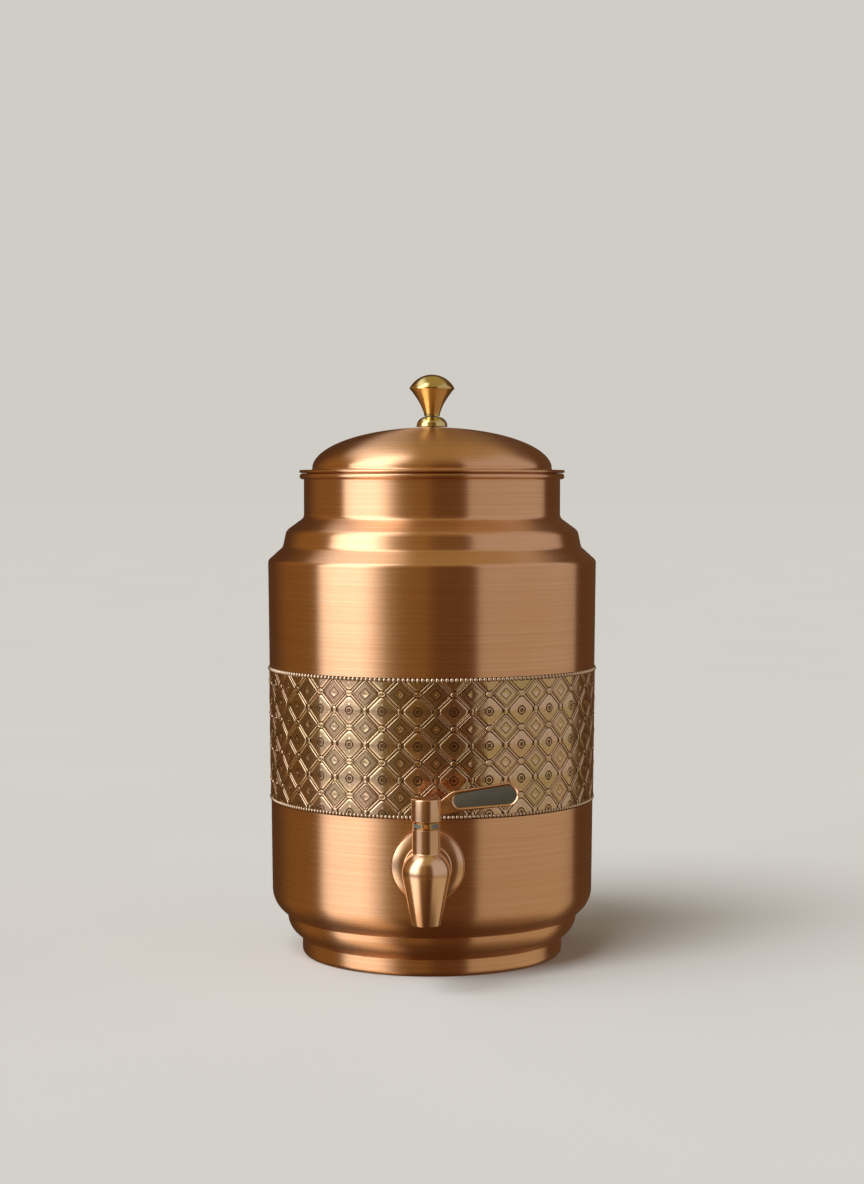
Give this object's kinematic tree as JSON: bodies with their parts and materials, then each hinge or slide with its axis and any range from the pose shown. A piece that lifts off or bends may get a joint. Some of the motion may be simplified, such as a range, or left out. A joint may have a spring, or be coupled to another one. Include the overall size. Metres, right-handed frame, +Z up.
{
  "type": "water dispenser",
  "caption": "Copper water storage pot with a stepped shoulder and foot, an embossed band, a lift-off domed lid with a brass knob, and a lever tap near the base.",
  "frame": {"origin": "middle of the flat base, on the vessel's axis", "axes": "+Z up the vessel's axis; -Y out of the front, along the tap; +X along the closed tap lever"},
  "size_m": [0.2008, 0.2452, 0.3536],
  "materials": {
    "copper": "satin copper, brushed round the body",
    "band_metal": "embossed sheet, dark in its hollows",
    "wire_metal": "satin beads",
    "knob_brass": "polished",
    "tap_metal": "satin rose-gold plating",
    "valve_brass": "machined",
    "silicone": "matte silicone",
    "grey_inlay": "satin grey-green",
    "enamel": "glossy enamel",
    "steel": "machined"
  },
  "bodies": {
    "vessel": {"upper_shell": "copper", "lower_shell": "copper", "embossed_band": "band_metal", "lower_bead_wire": "wire_metal", "upper_bead_wire": "wire_metal", "inlet_shank": "tap_metal", "outer_gasket": "silicone", "inner_gasket": "silicone", "tap_flange_plate": "tap_metal", "nut_washer": "valve_brass", "back_nut": "valve_brass", "tap_body": "tap_metal", "inlet_seat": "silicone", "valve_collar": "tap_metal", "enamel_plate_1": "enamel", "enamel_plate_2": "enamel", "enamel_plate_3": "enamel", "enamel_plate_4": "enamel"},
    "lid": {"lid_shell": "copper", "lid_collar": "copper", "lid_knob": "knob_brass", "knob_rosette": "knob_brass", "knob_washer": "steel", "knob_screw": "steel"},
    "lever": {"tap_lever": "tap_metal", "lever_inlay": "grey_inlay", "lever_grub_screw": "steel", "valve_spindle": "valve_brass", "valve_plug": "valve_brass", "lower_o_ring": "silicone", "upper_o_ring": "silicone"}
  },
  "joints": [
    {"name": "lid_lift", "type": "slide", "parent": "vessel", "child": "lid", "axis": [0, 0, 1], "range_m": [0, 0.1]},
    {"name": "lever_turn", "type": "hinge", "parent": "vessel", "child": "lever", "pos_m": [0, -0.1312, 0.1], "axis": [0, 0, 1], "range_deg": [-90, 0]}
  ]
}
